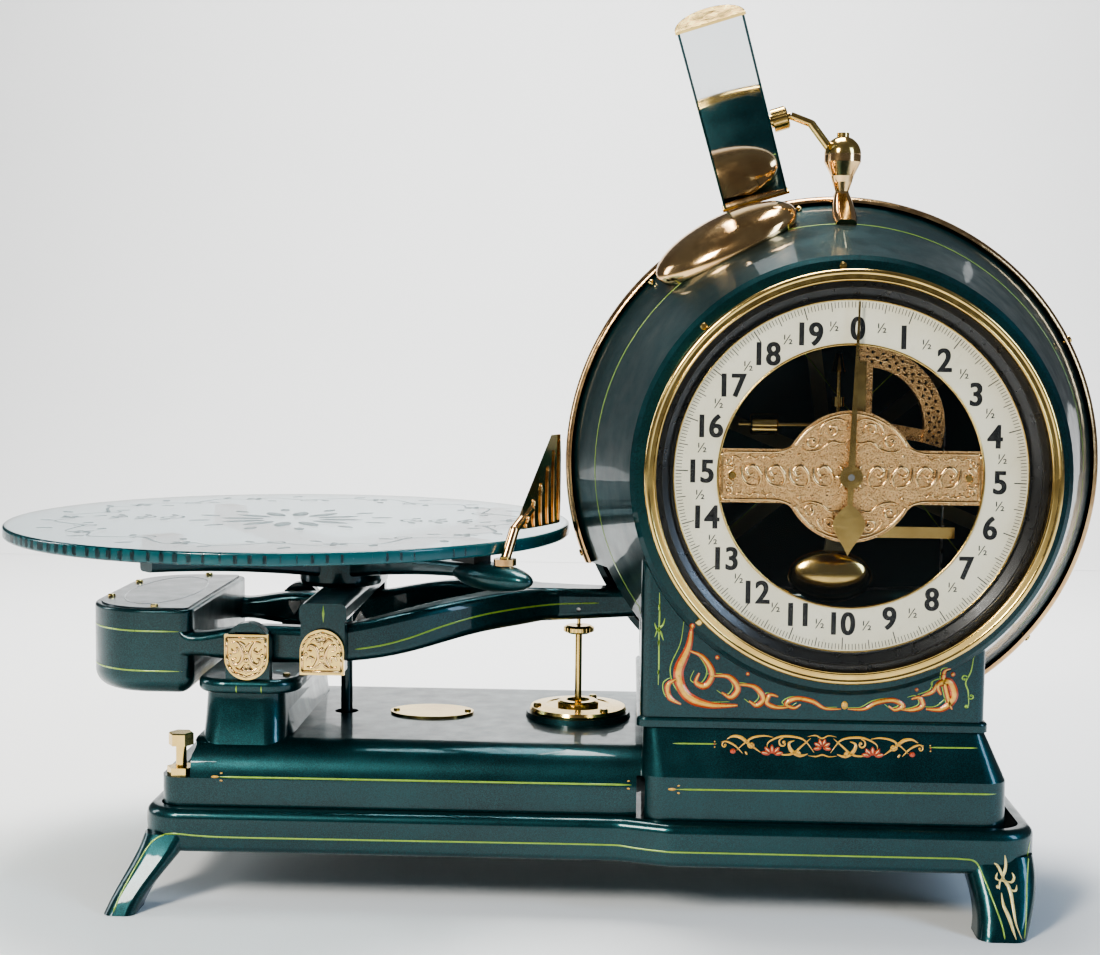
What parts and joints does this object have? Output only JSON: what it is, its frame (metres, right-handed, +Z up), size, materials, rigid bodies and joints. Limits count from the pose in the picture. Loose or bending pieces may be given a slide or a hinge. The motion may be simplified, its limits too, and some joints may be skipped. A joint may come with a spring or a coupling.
{
  "type": "counter scale",
  "caption": "Counter scale with a round glass platter on a beam, a drum-shaped dial head on a legged base, and a swivelling reading mirror.",
  "frame": {"origin": "on the resting plane, at the centre of the footprint of the whole scale", "axes": "+X from the platter towards the dial head, +Y from the dial face towards the back, +Z up"},
  "size_m": [0.7329, 0.379, 0.5714],
  "materials": {
    "case_paint": "gloss",
    "slate_paint": "gloss",
    "brass": "polished",
    "bronze": "satin",
    "steel": "satin",
    "dark_iron": "satin",
    "ballast_iron": "rough",
    "dial_enamel": "satin",
    "well_black": "matte",
    "clear_glass": "polished",
    "mirror": "polished",
    "rubber": "matte",
    "chart_paper": "matte"
  },
  "bodies": {
    "base": {"leg_tray": "case_paint", "base_casting": "case_paint", "lock_nuts": "brass", "base_plate": "brass", "base_screws": "brass", "fulcrum_stand": "case_paint", "fulcrum_bearings": "steel", "fulcrum_covers": "brass", "dashpot_cup": "dark_iron", "dashpot_cover": "brass", "drum_housing": "case_paint", "rear_cover": "case_paint", "rim_band": "brass", "case_screws": "brass", "bezel_ring": "brass", "dial_glass": "clear_glass", "dial_well": "well_black", "dial_ring": "dial_enamel", "name_plate": "bronze", "movement_frame": "dark_iron", "reading_visor": "brass", "mirror_post": "brass"},
    "bolt_front": {"levelling_bolt_front": "brass"},
    "bolt_rear": {"levelling_bolt_rear": "brass"},
    "check_link": {"check_link": "steel"},
    "beam": {"beam_lever": "case_paint", "ballast_lid": "slate_paint", "lid_screws": "brass", "ballast_weight": "ballast_iron", "knife_edges": "steel", "beam_pins": "steel"},
    "carrier": {"carrier_yoke": "case_paint", "load_bearings": "steel", "load_covers": "brass", "platter_spider": "case_paint", "platter_pads": "rubber", "glass_platter": "clear_glass", "check_rod": "steel", "scoop_guard": "brass", "guard_screw": "brass"},
    "plunger": {"dashpot_plunger": "brass", "adjusting_nut": "brass"},
    "pointer": {"pointer": "brass", "pointer_arbor": "steel", "pinion": "brass", "chart_wheel": "chart_paper"},
    "pendulum": {"pendulum_shaft": "steel", "pendulum_sector": "bronze", "sector_band": "steel", "pendulum_arm": "dark_iron", "pendulum_bob": "brass", "sensitivity_poise": "brass", "balance_poise": "brass"},
    "draw": {"draw_band": "steel", "rack": "brass"},
    "mirror_arm": {"mirror_arm": "brass", "clamp_nut": "brass"},
    "hood": {"mirror_hood": "case_paint", "mirror_glass": "mirror", "hood_caps": "brass"}
  },
  "joints": [
    {"name": "beam_tilt", "type": "hinge", "parent": "base", "child": "beam", "pos_m": [-0.187, 0, 0.157], "axis": [0, 1, 0], "range_deg": [0, 4]},
    {"name": "carrier_pivot", "type": "hinge", "parent": "beam", "child": "carrier", "pos_m": [-0.139, 0, 0.161], "axis": [0, 1, 0], "range_deg": [-4.05, 0.05]},
    {"name": "check_swing", "type": "hinge", "parent": "base", "child": "check_link", "pos_m": [-0.187, 0, 0.076], "axis": [0, 1, 0], "range_deg": [-0.05, 4.05]},
    {"name": "dashpot_slide", "type": "slide", "parent": "base", "child": "plunger", "axis": [0, 0, -1], "range_m": [0, 0.0148]},
    {"name": "draw_slide", "type": "slide", "parent": "base", "child": "draw", "axis": [0, 0, -1], "range_m": [0, 0.0309]},
    {"name": "pendulum_swing", "type": "hinge", "parent": "base", "child": "pendulum", "pos_m": [0.202, -0.062, 0.305], "axis": [0, 1, 0], "range_deg": [0, 35.4]},
    {"name": "pointer_turn", "type": "hinge", "parent": "base", "child": "pointer", "pos_m": [0.188, -0.11, 0.2755], "axis": [0, 1, 0], "range_deg": [0, 343]},
    {"name": "mirror_swing", "type": "hinge", "parent": "base", "child": "mirror_arm", "pos_m": [0.19, -0.012, 0.48], "axis": [0, 0, 1], "range_deg": [-25, 0]},
    {"name": "hood_tilt", "type": "hinge", "parent": "mirror_arm", "child": "hood", "pos_m": [0.12124, -0.00937, 0.49489], "axis": [0.9574, -0.0548, 0.2837], "range_deg": [0, 35]},
    {"name": "bolt_front_turn", "type": "hinge", "parent": "base", "child": "bolt_front", "pos_m": [-0.23, -0.096, 0.08], "axis": [0, 0, 1], "continuous": true},
    {"name": "bolt_rear_turn", "type": "hinge", "parent": "base", "child": "bolt_rear", "pos_m": [-0.23, 0.096, 0.08], "axis": [0, 0, 1], "continuous": true}
  ],
  "couplings": [
    {"joint": "carrier_pivot", "follows": "beam_tilt", "ratio": -1},
    {"joint": "check_swing", "follows": "beam_tilt", "ratio": 1},
    {"joint": "dashpot_slide", "follows": "beam_tilt", "m_per_rad": 0.207},
    {"joint": "draw_slide", "follows": "beam_tilt", "m_per_rad": 0.439},
    {"joint": "pendulum_swing", "follows": "beam_tilt", "ratio": 8.78},
    {"joint": "pointer_turn", "follows": "beam_tilt", "ratio": 85.243}
  ]
}
